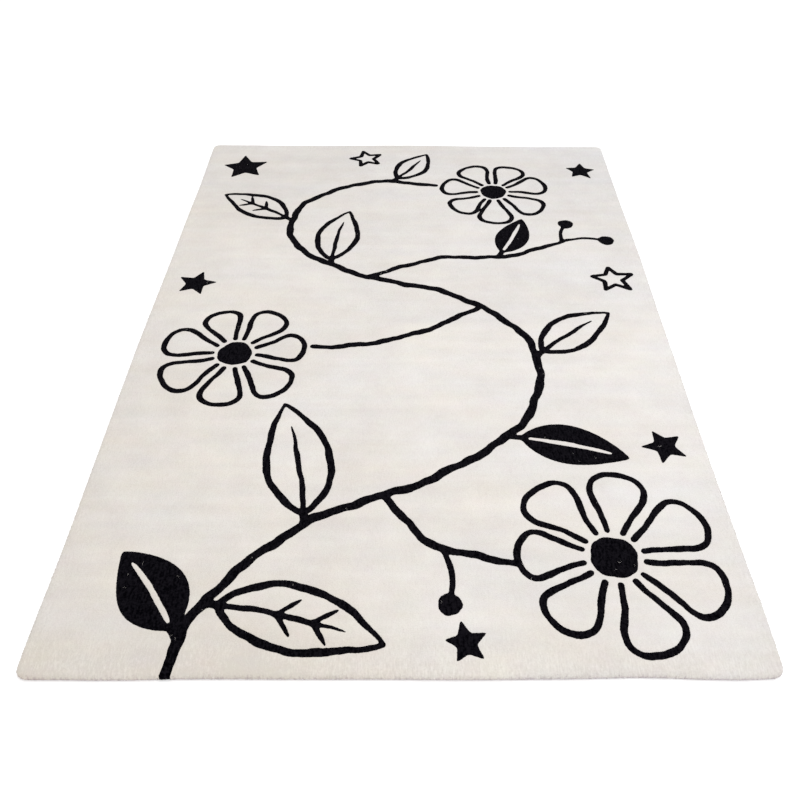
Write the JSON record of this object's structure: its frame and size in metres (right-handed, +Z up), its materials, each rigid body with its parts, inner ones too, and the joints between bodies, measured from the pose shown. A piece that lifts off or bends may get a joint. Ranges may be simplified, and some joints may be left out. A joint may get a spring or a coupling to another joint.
{
  "type": "kids area rug",
  "caption": "Rectangular hand-tufted wool rug with a short, dense cut pile, soft corners and slightly wandering sides, lying flat on the floor.",
  "frame": {"origin": "on the floor, under the middle of the rug's outer size", "axes": "+Z up out of the pile, +X across the rug to the right, +Y along it from the near end to the far end"},
  "size_m": [1.407, 2.0108, 0.0159],
  "materials": {
    "ivory_wool": "short cut wool pile, matt with a soft sheen, ivory",
    "black_wool": "short cut wool pile, matt, black",
    "backing_cloth": "plain-woven cotton backing, matt, unbleached"
  },
  "bodies": {
    "root": {"rug": "ivory_wool"}
  },
  "joints": []
}
